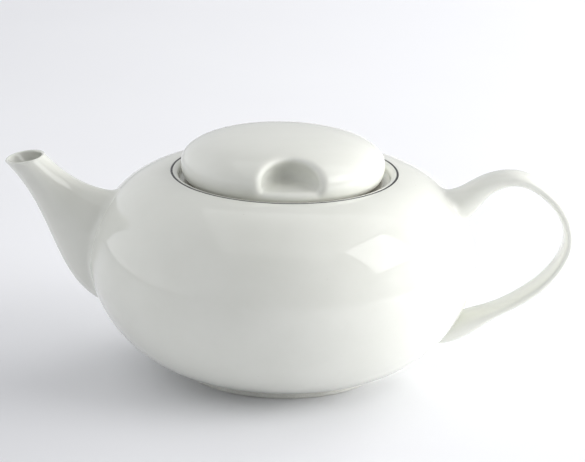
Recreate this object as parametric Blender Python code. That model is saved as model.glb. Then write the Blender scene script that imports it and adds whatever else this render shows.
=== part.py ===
"""A low, round porcelain teapot: a hollow bowl on a foot ring, with a rising spout, a thin
strap handle and a pillow-shaped drop-in lid that is lifted by two finger scoops.

Lengths are in metres, +Z is up. The pot stands on z = 0, the spout points to -X and the
handle to +X. Turned shapes are given as (radius, height) outlines about the pot's axis, and
side outlines as (distance from the pot's axis along X, height).
"""

import math

import bmesh
import bpy
import numpy as np

# ---- Driving dimensions ----
POT_AXIS_X = -0.0029      # where the bowl's axis stands, so that the whole pot is centred on x = 0
GAP = 0.0003              # left between neighbouring pieces
TURNED_SIDES = 48         # facets round each turned piece
CREASE_ANGLE = math.radians(35)

WALL = 0.004
BELLY_RADIUS = 0.085
BELLY_HEIGHT = 0.0493
BASE_RADIUS = 0.047       # the bowl's flat underside
BASE_HEIGHT = 0.0034
SHOULDER_RADIUS = 0.0495  # where the wall meets the mouth's rim
SHOULDER_HEIGHT = 0.0893
FLOOR_RADIUS = 0.045      # the flat of the bowl's floor, inside
FLOOR_THICKNESS = 0.0042
NECK_RADIUS = 0.047       # the bowl's inside, just under the ledge

MOUTH_RADIUS = 0.0462     # the straight wall of the recess that the lid drops into
RIM_ROLL = 0.0024         # radius of the rim's rounded inner edge
LEDGE_HEIGHT = 0.0853     # the gallery ledge that carries the lid
LEDGE_RADIUS = 0.0385     # the clear opening inside the ledge
LEDGE_THICKNESS = 0.0038

LINE_RADIUS = 0.0494      # the fired-on grey line round the mouth
LINE_WIDTH = 0.0006
LINE_DEPTH = 0.0004

FOOT_OUTER = 0.04535
FOOT_INNER = 0.0415
FOOT_CHAMFER = 0.0006
FOOT_FLARE_OUT = 0.0004   # the ring widens by this much towards the bowl
FOOT_FLARE_IN = 0.0010

HOLE_RADIUS = 0.0022      # strainer holes through the bowl's wall, behind the spout
HOLE_SPREAD = 0.0036
HOLE_ROWS = [0.036, 0.042, 0.048, 0.054, 0.060, 0.066, 0.072]
HOLE_SIDES = 10
PUNCH_ENDS = (-0.092, -0.064)  # the punches run right through the wall

SPOUT_WALL_ROOT = 0.0032
SPOUT_WALL_MOUTH = 0.0014
LIP_ROUNDING = 0.0006
SPOUT_SIDES = 24
SPOUT_STEPS = 12

HANDLE_WIDTH = 0.015
HANDLE_SIDES = 14
HANDLE_STEPS = 30
HANDLE_SQUARENESS = 2.6   # 2 gives an ellipse, more gives a strap with rounded edges

LID_RADIUS = 0.0446
LID_EDGE_HEIGHT = 0.093   # the height of the lid's widest point
LID_TOP = 0.1065
LID_SHIFT = -0.0008       # the lid lies this far off the pot's axis, inside its play
LID_TURN = math.radians(4.8)
LID_SEAT_RADIUS = 0.0408
FLANGE_OUTER = 0.0368
FLANGE_INNER = 0.0336
FLANGE_BOTTOM = 0.0735
FLANGE_CHAMFER = 0.0006
LID_THICKNESS = 0.0045
HOLLOW_RADIUS = FLANGE_INNER - 0.0006

SCOOP_HALF_WIDTH = 0.0135
SCOOP_DEPTH = 0.0195
SCOOP_HEIGHT = 0.0146
SCOOP_FLOOR = 0.0915
SCOOP_WALL = 0.0035
SCOOP_LONGITUDES = 24
SCOOP_LATITUDES = 6

LUG_WIDTH = 0.009
LUG_REACH = 0.0408        # the lug's outer end, from the lid's axis
LUG_BOTTOM = 0.0745
LUG_TOP = 0.0785
LUG_TAPER = 0.002         # how much narrower the lug is at its outer end
LUG_ROUNDING = 0.0006

NOTCH_INNER = 0.034       # the notch lets the lug down past the ledge
NOTCH_SIDE_PLAY = 0.0015
NOTCH_END_PLAY = 0.0012
NOTCH_DEPTH = 0.008
NOTCH_RISE = 0.0006

WHITE_GLAZE = (0.86, 0.87, 0.85, 1.0)
BARE_PORCELAIN = (0.80, 0.78, 0.74, 1.0)
LINE_GREY = (0.16, 0.16, 0.17, 1.0)


# ---- Outlines ----
def bezier(start, handle_a, handle_b, end, count):
    """Points along a cubic Bezier curve, both ends included."""
    t = np.linspace(0, 1, count)[:, None]
    start, handle_a, handle_b, end = map(np.array, (start, handle_a, handle_b, end))
    return (
        (1 - t) ** 3 * start
        + 3 * t * (1 - t) ** 2 * handle_a
        + 3 * t**2 * (1 - t) * handle_b
        + t**3 * end
    )


def arc(centre, radius, first_deg, last_deg, count):
    """Points along a circular arc, both ends included."""
    angles = np.radians(np.linspace(first_deg, last_deg, count))
    return np.array(centre) + radius * np.stack([np.cos(angles), np.sin(angles)], 1)


def joined(*stretches):
    """One outline from several stretches, without the points where two of them meet twice."""
    points = np.concatenate([np.atleast_2d(stretch) for stretch in stretches])
    apart = np.linalg.norm(np.diff(points, axis=0), axis=1) > 1e-6
    return points[np.concatenate([[True], apart])]


def grown(outline, distance):
    """The outline moved outwards, to its right as it is walked."""
    along = np.gradient(outline, axis=0)
    along /= np.linalg.norm(along, axis=1)[:, None]
    return outline + distance * np.stack([along[:, 1], -along[:, 0]], 1)


def smooth_path(stations, count):
    """Even steps along a natural cubic spline through the stations (rows of any length)."""
    stations = np.array(stations)
    lengths = np.linalg.norm(np.diff(stations[:, :2], axis=0), axis=1)
    knots = np.concatenate([[0], np.cumsum(lengths)])
    system = np.eye(len(knots))
    right = np.zeros_like(stations)
    slopes = np.diff(stations, axis=0) / lengths[:, None]
    for i in range(1, len(knots) - 1):
        system[i, i - 1 : i + 2] = lengths[i - 1], 2 * (lengths[i - 1] + lengths[i]), lengths[i]
        right[i] = 6 * (slopes[i] - slopes[i - 1])
    bends = np.linalg.solve(system, right)
    at = np.linspace(0, knots[-1], count)
    span = np.clip(np.searchsorted(knots, at) - 1, 0, len(lengths) - 1)
    size = lengths[span][:, None]
    after = (at[:, None] - knots[span][:, None]) / size
    before = 1 - after
    curved = (before**3 - before) * bends[span] + (after**3 - after) * bends[span + 1]
    return before * stations[span] + after * stations[span + 1] + size**2 / 6 * curved


def bowl_outside():
    """The bowl's outer wall, from the edge of its underside up to its shoulder."""
    lower = bezier(
        (BASE_RADIUS, BASE_HEIGHT), (0.0712, 0.0098),
        (BELLY_RADIUS, 0.0332), (BELLY_RADIUS, BELLY_HEIGHT), 9,
    )
    upper = bezier(
        (BELLY_RADIUS, BELLY_HEIGHT), (BELLY_RADIUS, 0.0628),
        (0.0758, 0.0874), (SHOULDER_RADIUS, SHOULDER_HEIGHT), 10,
    )
    return joined(lower, upper)


def bowl_inside():
    """The bowl's inner wall, from the gallery down to the middle of the floor."""
    inner_belly = BELLY_RADIUS - WALL
    floor = BASE_HEIGHT + FLOOR_THICKNESS
    below_ledge = LEDGE_HEIGHT - LEDGE_THICKNESS
    upper = bezier(
        (NECK_RADIUS, below_ledge), (0.0715, 0.0835),
        (inner_belly, 0.0615), (inner_belly, BELLY_HEIGHT), 7,
    )
    lower = bezier(
        (inner_belly, BELLY_HEIGHT), (inner_belly, 0.035),
        (0.067, 0.0125), (FLOOR_RADIUS, floor), 7,
    )
    return joined([(LEDGE_RADIUS, below_ledge)], upper, lower, [(0, floor)])


# ---- Mesh helpers ----
def material(name, colour, roughness, metallic=0.0):
    made = bpy.data.materials.new(name)
    made.use_nodes = True
    shader = made.node_tree.nodes["Principled BSDF"]
    shader.inputs["Base Color"].default_value = colour
    shader.inputs["Roughness"].default_value = roughness
    shader.inputs["Metallic"].default_value = metallic
    return made


def mesh_object(name, vertices, faces, finish, parent, cutter=False):
    """An object from raw geometry, with its normals made to point out."""
    mesh = bpy.data.meshes.new(name)
    mesh.from_pydata([tuple(map(float, v)) for v in vertices], [], faces)
    shape = bmesh.new()
    shape.from_mesh(mesh)
    bmesh.ops.recalc_face_normals(shape, faces=shape.faces)
    shape.to_mesh(mesh)
    shape.free()
    mesh.shade_smooth()
    mesh.set_sharp_from_angle(angle=CREASE_ANGLE)
    obj = bpy.data.objects.new(name, mesh)
    bpy.context.scene.collection.objects.link(obj)
    obj.parent = parent
    if cutter:
        obj.hide_render = True
        obj.display_type = "WIRE"
    else:
        mesh.materials.append(finish)
    return obj


def turned(name, outline, finish, parent, cutter=False):
    """A closed (radius, height) outline turned about Z. A point on the axis becomes a pole."""
    vertices, rings = [], []
    for radius, height in outline:
        if radius < 1e-7:
            rings.append([len(vertices)] * TURNED_SIDES)
            vertices.append((0, 0, height))
            continue
        rings.append(list(range(len(vertices), len(vertices) + TURNED_SIDES)))
        for k in range(TURNED_SIDES):
            angle = 2 * math.pi * k / TURNED_SIDES
            vertices.append((radius * math.cos(angle), radius * math.sin(angle), height))
    faces = []
    for i, ring in enumerate(rings):
        after = rings[(i + 1) % len(rings)]
        if ring[0] == ring[1] and after[0] == after[1]:
            continue
        for k in range(TURNED_SIDES):
            near, far = k, (k + 1) % TURNED_SIDES
            corners = [ring[near], ring[far], after[far], after[near]]
            faces.append(tuple(dict.fromkeys(corners)))
    return mesh_object(name, vertices, faces, finish, parent, cutter)


def lofted(name, rings, finish, parent, ring_shaped=False):
    """A skin over rings with equal numbers of points, capped unless it closes on itself."""
    size = len(rings[0])
    faces = []
    for i in range(len(rings) if ring_shaped else len(rings) - 1):
        here, there = i * size, (i + 1) % len(rings) * size
        for k in range(size):
            after = (k + 1) % size
            faces.append((here + k, here + after, there + after, there + k))
    if not ring_shaped:
        last = (len(rings) - 1) * size
        faces.append(tuple(range(size)))
        faces.append(tuple(range(last, last + size)))
    return mesh_object(name, np.concatenate(rings), faces, finish, parent)


def cut(obj, cutter):
    modifier = obj.modifiers.new("cut by " + cutter.name, "BOOLEAN")
    modifier.operation = "DIFFERENCE"
    modifier.object = cutter


# ---- The pot ----
def bowl_clearance(parent):
    """The bowl's outer shape, grown by the gap: it trims the roots of the spout and the handle."""
    wall = grown(bowl_outside(), GAP)
    outline = joined([(0, BASE_HEIGHT - GAP)], wall, [(0, SHOULDER_HEIGHT + GAP)])
    return turned("bowl_clearance", outline, None, parent, cutter=True)


def strainer_cutter(parent):
    """Round punches for the strainer: rows of one and two holes in turn."""
    vertices, faces = [], []
    sides = HOLE_SIDES
    for row, height in enumerate(HOLE_ROWS):
        for y in ([0.0] if row % 2 else [-HOLE_SPREAD, HOLE_SPREAD]):
            first = len(vertices)
            for x in PUNCH_ENDS:
                for k in range(sides):
                    angle = 2 * math.pi * (k + 0.5) / sides
                    across, up = HOLE_RADIUS * math.cos(angle), HOLE_RADIUS * math.sin(angle)
                    vertices.append((x, y + across, height + up))
            for k in range(sides):
                after = (k + 1) % sides
                faces.append((first + k, first + after, first + sides + after, first + sides + k))
            faces.append(tuple(range(first, first + sides)))
            faces.append(tuple(range(first + sides, first + 2 * sides)))
    return mesh_object("strainer_cutter", vertices, faces, None, parent, cutter=True)


def block(name, low, high, turn, parent):
    """A box-shaped cutter, turned about Z."""
    shape = bmesh.new()
    bmesh.ops.create_cube(shape, size=1)
    low, high = np.array(low), np.array(high)
    for vertex in shape.verts:
        vertex.co = (np.array(vertex.co) + 0.5) * (high - low) + low
    vertices = [tuple(v.co) for v in shape.verts]
    faces = [tuple(v.index for v in face.verts) for face in shape.faces]
    shape.free()
    obj = mesh_object(name, vertices, faces, None, parent, cutter=True)
    obj.rotation_euler.z = turn
    return obj


def body_shell(glaze, parent):
    """The bowl: wall, rolled rim with a groove for the line, recess and gallery ledge."""
    groove_in = LINE_RADIUS - LINE_WIDTH / 2 - GAP
    groove_out = LINE_RADIUS + LINE_WIDTH / 2 + GAP
    groove_floor = SHOULDER_HEIGHT - LINE_DEPTH - 2 * GAP
    roll_centre = (MOUTH_RADIUS + RIM_ROLL, SHOULDER_HEIGHT - RIM_ROLL)
    groove = [
        (groove_out, SHOULDER_HEIGHT), (groove_out, groove_floor),
        (groove_in, groove_floor), (groove_in, SHOULDER_HEIGHT),
    ]
    outline = joined(
        [(0, BASE_HEIGHT)], bowl_outside()[:-1], groove, arc(roll_centre, RIM_ROLL, 90, 180, 4),
        [(MOUTH_RADIUS, LEDGE_HEIGHT), (LEDGE_RADIUS, LEDGE_HEIGHT)],
        bowl_inside(),
    )
    shell = turned("body_shell", outline, glaze, parent)
    cut(shell, strainer_cutter(parent))
    notch_half_width = LUG_WIDTH / 2 + NOTCH_SIDE_PLAY
    notch = block(
        "lug_notch", (NOTCH_INNER, -notch_half_width, LEDGE_HEIGHT - NOTCH_DEPTH),
        (LUG_REACH + NOTCH_END_PLAY, notch_half_width, LEDGE_HEIGHT + NOTCH_RISE),
        LID_TURN, parent,
    )
    cut(shell, notch)
    return shell


def foot_ring(bare, parent):
    """The unglazed ring that the pot stands on."""
    top = BASE_HEIGHT - GAP
    outline = [
        (FOOT_INNER + FOOT_CHAMFER, 0), (FOOT_OUTER - FOOT_CHAMFER, 0),
        (FOOT_OUTER, FOOT_CHAMFER), (FOOT_OUTER + FOOT_FLARE_OUT, top),
        (FOOT_INNER - FOOT_FLARE_IN, top), (FOOT_INNER, FOOT_CHAMFER),
    ]
    return turned("foot_ring", outline, bare, parent)


def rim_line(grey, parent):
    """The grey line, lying in its groove level with the glaze."""
    inner, outer = LINE_RADIUS - LINE_WIDTH / 2, LINE_RADIUS + LINE_WIDTH / 2
    top = SHOULDER_HEIGHT
    outline = [(inner, top - LINE_DEPTH), (outer, top - LINE_DEPTH), (outer, top), (inner, top)]
    return turned("rim_line", outline, grey, parent)


def spout_sections():
    """(underside point, crest point, half width) at even steps from the mouth to the root."""
    steps = np.linspace(0, 1, SPOUT_STEPS)
    keel = bezier(
        (-0.1219, 0.0915), (-0.0983, 0.0677), (-0.1022, 0.0352), (-0.0740, 0.0260), SPOUT_STEPS
    )
    crest = bezier(
        (-0.1046, 0.0943), (-0.0925, 0.0815), (-0.0779, 0.0766), (-0.0660, 0.0790), SPOUT_STEPS
    )
    half_width = np.interp(steps, [0, 0.25, 0.5, 0.8, 1], [0.0103, 0.0099, 0.0109, 0.0130, 0.0136])
    return keel, crest, half_width


def spout(glaze, parent):
    """A hollow spout: an outer and an inner skin that meet in a rounded lip at the mouth."""
    keel, crest, half_width = spout_sections()
    wall = np.linspace(SPOUT_WALL_MOUTH, SPOUT_WALL_ROOT, SPOUT_STEPS)
    angles = 2 * math.pi * np.arange(SPOUT_SIDES) / SPOUT_SIDES

    def section(i, inset, lift=0.0):
        middle = (keel[i] + crest[i]) / 2
        up = (crest[i] - keel[i]) / 2
        half_height = np.linalg.norm(up)
        up = up / half_height
        out = np.array([-up[1], up[0]])
        rise = (half_height - inset) * np.sin(angles)
        across = (half_width[i] - inset) * np.cos(angles)
        side = middle + lift * out + rise[:, None] * up
        return np.stack([side[:, 0], across, side[:, 1]], 1)

    order = range(SPOUT_STEPS - 1, -1, -1)
    outer = [section(i, 0) for i in order]
    lip = [
        section(0, LIP_ROUNDING, LIP_ROUNDING),
        section(0, SPOUT_WALL_MOUTH - LIP_ROUNDING, LIP_ROUNDING),
    ]
    inner = [section(i, wall[i]) for i in range(SPOUT_STEPS)]
    return lofted("spout", outer + lip + inner, glaze, parent, ring_shaped=True)


def handle_stations():
    """(x, height, thickness, width) down the middle of the strap, from its upper root."""
    wide = HANDLE_WIDTH
    return [
        (0.0680, 0.0710, 0.0200, wide + 0.0030),
        (0.0800, 0.0780, 0.0125, wide + 0.0016),
        (0.0868, 0.0838, 0.0087, wide + 0.0006),
        (0.0952, 0.0877, 0.0066, wide),
        (0.1032, 0.0881, 0.0055, wide),
        (0.1131, 0.0834, 0.0050, wide),
        (0.1217, 0.0741, 0.0047, wide),
        (0.1255, 0.0605, 0.0046, wide),
        (0.1206, 0.0476, 0.0046, wide),
        (0.1068, 0.0346, 0.0048, wide),
        (0.0930, 0.0270, 0.0055, wide + 0.0004),
        (0.0830, 0.0220, 0.0092, wide + 0.0014),
        (0.0725, 0.0172, 0.0090, wide + 0.0024),
        (0.0625, 0.0155, 0.0060, wide + 0.0034),
    ]


def handle(glaze, parent):
    """A strap with rounded edges that swells where it joins the bowl."""
    path = smooth_path(handle_stations(), HANDLE_STEPS)
    along = np.gradient(path[:, :2], axis=0)
    along /= np.linalg.norm(along, axis=1)[:, None]
    angles = 2 * math.pi * np.arange(HANDLE_SIDES) / HANDLE_SIDES
    power = 2 / HANDLE_SQUARENESS
    across = np.sign(np.cos(angles)) * np.abs(np.cos(angles)) ** power
    out = np.sign(np.sin(angles)) * np.abs(np.sin(angles)) ** power
    rings = []
    for (x, z, thickness, width), (dx, dz) in zip(path, along):
        normal = np.array([-dz, dx])
        side = np.array([x, z]) + out[:, None] * thickness / 2 * normal
        rings.append(np.stack([side[:, 0], across * width / 2, side[:, 1]], 1))
    return lofted("handle", rings, glaze, parent)


# ---- The lid ----
def lid_outside():
    """The lid's outer skin, from its seat out to its widest point and up to the middle of its top."""
    under = bezier(
        (LID_SEAT_RADIUS, LEDGE_HEIGHT + GAP), (0.0428, LEDGE_HEIGHT + 0.0005),
        (LID_RADIUS, 0.0893), (LID_RADIUS, LID_EDGE_HEIGHT), 5,
    )
    over = bezier(
        (LID_RADIUS, LID_EDGE_HEIGHT), (LID_RADIUS, 0.096), (0.044, LID_TOP), (0, LID_TOP), 11
    )
    return joined(under, over)


def scoop_cutter(name, side, margin, parent):
    """Half an ellipsoid with a flat floor, its middle at the lid's edge. side is -1 or 1 along Y."""
    longitudes, latitudes = SCOOP_LONGITUDES, SCOOP_LATITUDES
    radii = np.array([SCOOP_HALF_WIDTH, SCOOP_DEPTH, SCOOP_HEIGHT]) + margin
    floor = SCOOP_FLOOR - margin
    centre_y = side * LID_RADIUS
    vertices = [(0, centre_y, SCOOP_FLOOR + radii[2])]
    faces = []
    for row in range(1, latitudes + 1):
        rise = math.pi / 2 * (1 - row / latitudes)
        for k in range(longitudes):
            angle = 2 * math.pi * k / longitudes
            vertices.append((
                radii[0] * math.cos(rise) * math.cos(angle),
                centre_y + radii[1] * math.cos(rise) * math.sin(angle),
                SCOOP_FLOOR + radii[2] * math.sin(rise),
            ))
    if margin:
        for x, y, _ in vertices[-longitudes:]:
            vertices.append((x, y, floor))
    rows = (len(vertices) - 1) // longitudes
    for k in range(longitudes):
        faces.append((0, 1 + k, 1 + (k + 1) % longitudes))
    for row in range(rows - 1):
        first = 1 + row * longitudes
        for k in range(longitudes):
            after = (k + 1) % longitudes
            faces.append((first + k, first + after, first + longitudes + after, first + longitudes + k))
    faces.append(tuple(range(len(vertices) - longitudes, len(vertices))))
    return mesh_object(name, vertices, faces, None, parent, cutter=True)


def lid_cap(glaze, parent):
    """The pillow-shaped lid: hollow below, with a finger scoop at the front and at the back."""
    skin = lid_outside()
    cap = turned("lid_cap", joined([(0, LEDGE_HEIGHT + GAP)], skin), glaze, parent)
    under = LEDGE_HEIGHT + GAP
    cutter_bottom = under - 0.004
    ceiling = LID_TOP - LID_THICKNESS
    hollow_outline = joined(
        [(0, cutter_bottom), (HOLLOW_RADIUS, cutter_bottom)],
        bezier(
            (HOLLOW_RADIUS, under), (HOLLOW_RADIUS, 0.096), (0.030, ceiling), (0, ceiling), 7
        ),
    )
    hollow = turned("lid_hollow", hollow_outline, None, parent, cutter=True)
    for name, side in (("front", -1), ("back", 1)):
        cut(hollow, scoop_cutter(f"scoop_wall_{name}", side, SCOOP_WALL, parent))
    cut(cap, hollow)
    for name, side in (("front", -1), ("back", 1)):
        cut(cap, scoop_cutter(f"scoop_{name}", side, 0.0, parent))
    return cap


def lid_flange(glaze, parent):
    """The ring below the lid that keeps it in the pot's mouth."""
    edge = FLANGE_CHAMFER
    outline = [
        (FLANGE_INNER, FLANGE_BOTTOM + edge), (FLANGE_INNER + edge, FLANGE_BOTTOM),
        (FLANGE_OUTER - edge, FLANGE_BOTTOM), (FLANGE_OUTER, FLANGE_BOTTOM + edge),
        (FLANGE_OUTER, LEDGE_HEIGHT), (FLANGE_INNER, LEDGE_HEIGHT),
    ]
    return turned("lid_flange", outline, glaze, parent)


def lid_lug(glaze, parent):
    """The small nib on the flange that catches under the ledge while the pot is tipped."""
    inner = FLANGE_OUTER + GAP
    shape = bmesh.new()
    bmesh.ops.create_cube(shape, size=1)
    for vertex in shape.verts:
        x, y, z = vertex.co
        vertex.co = (
            inner + (x + 0.5) * (LUG_REACH - inner),
            y * (LUG_WIDTH - (LUG_TAPER if x > 0 else 0)),
            LUG_BOTTOM + (z + 0.5) * (LUG_TOP - LUG_BOTTOM),
        )
    vertices = [tuple(v.co) for v in shape.verts]
    faces = [tuple(v.index for v in face.verts) for face in shape.faces]
    shape.free()
    lug = mesh_object("lid_lug", vertices, faces, glaze, parent)
    rounded = lug.modifiers.new("rounded edges", "BEVEL")
    rounded.width = LUG_ROUNDING
    rounded.segments = 2
    return lug


def holder(name, location, turn=0.0, parent=None):
    empty = bpy.data.objects.new(name, None)
    bpy.context.scene.collection.objects.link(empty)
    empty.parent = parent
    empty.location = location
    empty.rotation_euler.z = turn
    return empty


def main():
    for obj in list(bpy.data.objects):
        bpy.data.objects.remove(obj, do_unlink=True)
    glaze = material("white_glaze", WHITE_GLAZE, 0.08)
    bare = material("bare_porcelain", BARE_PORCELAIN, 0.75)
    grey = material("grey_line", LINE_GREY, 0.3, 0.6)

    pot = holder("pot_axis", (POT_AXIS_X, 0, 0))
    body_shell(glaze, pot)
    foot_ring(bare, pot)
    rim_line(grey, pot)
    clearance = bowl_clearance(pot)
    cut(spout(glaze, pot), clearance)
    cut(handle(glaze, pot), clearance)

    lid = holder("lid_axis", (LID_SHIFT, 0, 0), LID_TURN, pot)
    lid_cap(glaze, lid)
    lid_flange(glaze, lid)
    lid_lug(glaze, lid)


main()
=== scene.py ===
"""The looks of a low, round white teapot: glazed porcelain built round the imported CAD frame.

Lengths are in metres, +Z is up and the pot stands on z = 0. Turned pieces are (radius, height)
outlines about the pot's axis, and side outlines are (distance from that axis along X, height).
"""

import math

import bmesh
import bpy
import numpy as np
from mathutils import Matrix, Quaternion, Vector


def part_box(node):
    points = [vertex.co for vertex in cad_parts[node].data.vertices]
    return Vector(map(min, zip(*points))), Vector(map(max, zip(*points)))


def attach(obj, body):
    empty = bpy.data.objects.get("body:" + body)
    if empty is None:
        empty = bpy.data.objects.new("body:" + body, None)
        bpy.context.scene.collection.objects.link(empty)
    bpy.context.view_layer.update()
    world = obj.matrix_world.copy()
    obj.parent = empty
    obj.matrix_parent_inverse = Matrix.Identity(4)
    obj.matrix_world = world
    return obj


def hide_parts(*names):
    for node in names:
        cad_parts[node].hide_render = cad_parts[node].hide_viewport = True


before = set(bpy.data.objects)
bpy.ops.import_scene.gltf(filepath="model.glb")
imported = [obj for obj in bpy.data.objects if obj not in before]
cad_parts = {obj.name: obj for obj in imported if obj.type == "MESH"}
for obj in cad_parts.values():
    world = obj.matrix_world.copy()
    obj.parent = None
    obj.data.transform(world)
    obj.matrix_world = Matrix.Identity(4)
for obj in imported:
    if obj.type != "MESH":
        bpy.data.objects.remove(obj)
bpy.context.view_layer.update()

# ---- Where the CAD pieces stand ----
bowl_low, bowl_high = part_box("body_shell")
POT_AXIS_X = (bowl_low.x + bowl_high.x) / 2
BELLY_RADIUS = (bowl_high.x - bowl_low.x) / 2
BASE_HEIGHT = bowl_low.z
SHOULDER_HEIGHT = bowl_high.z

CREASE_ANGLE = math.radians(40)

# ---- The bowl ----
TURNED_SIDES = 160
WALL = 0.004
BELLY_HEIGHT = 0.0493
BASE_RADIUS = 0.047       # the bowl's flat underside
BASE_HANDLE = (0.0712, 0.0098)  # the way the wall leaves the underside
SHOULDER_RADIUS = 0.0495  # where the wall meets the mouth's rim
INNER_FLOOR_RADIUS = 0.045
INNER_FLOOR_THICKNESS = 0.0042
NECK_RADIUS = 0.047       # the bowl's inside, just under the ledge
MOUTH_RADIUS = 0.0462     # the straight wall of the recess that the lid drops into
RIM_ROLL = 0.0024         # radius of the rim's rounded inner edge
LEDGE_HEIGHT = 0.0853     # the gallery ledge that carries the lid
LEDGE_RADIUS = 0.0385
LEDGE_THICKNESS = 0.0038
LINE_RADIUS = 0.0494
LINE_WIDTH = 0.0010
LINE_RISE = 0.00012       # how far the line stands up from its middle height,
LINE_SUNK = 0.00003       # which lies this far under the shoulder
LINE_SIDES = 16
FOOT_OUTER = 0.04535
FOOT_INNER = 0.0415
FOOT_ROUNDING_OUT = 0.0013
FOOT_ROUNDING_IN = 0.0009
FOOT_FLARE_OUT = 0.0004   # the ring widens by this much towards the bowl
FOOT_FLARE_IN = 0.0010
FOOT_REACH = 0.0004       # how far it goes up into the bowl
HOLE_RADIUS = 0.0022
HOLE_SPREAD = 0.0036
HOLE_ROWS = [0.036, 0.042, 0.048, 0.054, 0.060, 0.066, 0.072]
HOLE_SIDES = 24
PUNCH_ENDS = (-0.092, -0.064)  # the punches run right through the wall
SUNK = 0.00005            # how far an attached piece's outer edge lies under the bowl's glaze
ROOT_DEPTH = 0.0012       # how far its root goes into the bowl's wall

# ---- The spout ----
SPOUT_SIDES = 72
SPOUT_STEPS = 90
SPOUT_WALL_ROOT = 0.0032
SPOUT_WALL_MOUTH = 0.0014
SPOUT_FILLET = 0.0032
PASSAGE_FILLET = 0.0004

# ---- The handle ----
HANDLE_WIDTH = 0.015
HANDLE_SIDES = 56
HANDLE_STEPS = 220
HANDLE_SQUARENESS = 2.6   # 2 gives an ellipse, more gives a strap with rounded edges
HANDLE_FILLET = 0.0030

# ---- The lid ----
LID_RADIUS = 0.0446
LID_EDGE_HEIGHT = 0.093   # the height of the lid's widest point
LID_TOP = 0.1065
LID_THICKNESS = 0.0045
LID_SHIFT = -0.0008       # the lid lies this far off the pot's axis, inside its play
LID_TURN = math.radians(4.8)
LID_SEAT_RADIUS = 0.0408
LID_REST = 0.0003         # the gap that the CAD leaves between lid and ledge
LID_PITCH = 0.0006        # size of the lid's mesh cells
PAST_AXIS = 0.002         # how far the lid's outlines run on past its axis
HOLLOW_DROP = 0.003       # how far the hollow runs on below the lid
FLANGE_OUTER = 0.0368
FLANGE_INNER = 0.0336
FLANGE_BOTTOM = 0.0735
FLANGE_ROUNDING = 0.0012
FLANGE_FLARE = 0.0009     # the collar widens by this much where it grows out of the lid
FLANGE_REACH = 0.0009     # how far it goes up past the ledge, into the lid
HOLLOW_RADIUS = FLANGE_INNER - 0.0006
SCOOP_FLOOR = 0.0915
SCOOP_SLOPE = 0.05        # how steeply the scoops' floors rise towards the lid's axis
SCOOP_CENTRE = 0.004      # height of a scoop's middle above its floor
SCOOP_RADII = (0.0135, 0.0195, 0.0106)
SCOOP_WALL = 0.0035
SCOOP_FILLET = 0.0016     # how wide their floors run up into their walls
SCOOP_EASE = 0.0007       # how much the scoops draw in, so that their soft rims keep their size
RIM_SOFTNESS = 0.0042     # how wide the scoops' rims are rounded over
INSIDE_SOFTNESS = 0.002   # how wide the hollow is rounded where it clears a scoop
SEAT_SOFTNESS = 0.001     # how wide the edge between hollow and seat is rounded over
LUG_WIDTH = 0.009
LUG_REACH = 0.0408        # the lug's outer end, from the lid's axis
LUG_BOTTOM = 0.0745
LUG_TOP = 0.0785
LUG_OVERLAP = 0.0008      # how far it goes into the collar
LUG_TAPER = 0.002         # how much narrower the lug is at its outer end
LUG_SPREAD = 0.0006       # and how much wider at the collar
LUG_ROUNDING = 0.0011
NOTCH_INNER = 0.034       # the notch lets the lug down past the ledge
NOTCH_SIDE_PLAY = 0.0015
NOTCH_END_PLAY = 0.0012
NOTCH_DEPTH = 0.008
NOTCH_RISE = 0.0006
NOTCH_ROUNDING = 0.0014


# ---- Outlines ----
def bezier(start, handle_a, handle_b, end, count):
    """Points along a cubic Bezier curve, both ends included."""
    t = np.linspace(0, 1, count)[:, None]
    start, handle_a, handle_b, end = map(np.array, (start, handle_a, handle_b, end))
    return (
        (1 - t) ** 3 * start
        + 3 * t * (1 - t) ** 2 * handle_a
        + 3 * t**2 * (1 - t) * handle_b
        + t**3 * end
    )


def arc(centre, radius, first_deg, last_deg, count):
    """Points along a circular arc, both ends included."""
    angles = np.radians(np.linspace(first_deg, last_deg, count))
    return np.array(centre) + radius * np.stack([np.cos(angles), np.sin(angles)], 1)


def joined(*stretches):
    """One outline from several stretches, without the points where two of them meet twice."""
    points = np.concatenate([np.atleast_2d(stretch) for stretch in stretches])
    apart = np.linalg.norm(np.diff(points, axis=0), axis=1) > 1e-7
    return points[np.concatenate([[True], apart])]


def rounded_corner(before, corner, after, radius, count=6):
    """The arc that rounds a corner between two straight stretches."""
    before, corner, after = map(np.array, (before, corner, after))
    back = (before - corner) / np.linalg.norm(before - corner)
    on = (after - corner) / np.linalg.norm(after - corner)
    half_angle = math.acos(np.clip(back @ on, -1, 1)) / 2
    reach = radius / math.tan(half_angle)
    bisector = (back + on) / np.linalg.norm(back + on)
    centre = corner + bisector * radius / math.sin(half_angle)
    first, last = corner + back * reach - centre, corner + on * reach - centre
    angle = math.atan2(first[1], first[0])
    sweep = (math.atan2(last[1], last[0]) - angle + math.pi) % (2 * math.pi) - math.pi
    turns = angle + sweep * np.linspace(0, 1, count)
    return centre + radius * np.stack([np.cos(turns), np.sin(turns)], 1)


def rounded_outline(corners):
    """An outline through corners given as (radius, height, rounding)."""
    points = []
    for i, (r, z, rounding) in enumerate(corners):
        if rounding:
            points.append(rounded_corner(corners[i - 1][:2], (r, z),
                                         corners[(i + 1) % len(corners)][:2], rounding))
        else:
            points.append([(r, z)])
    return joined(*points)


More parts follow.
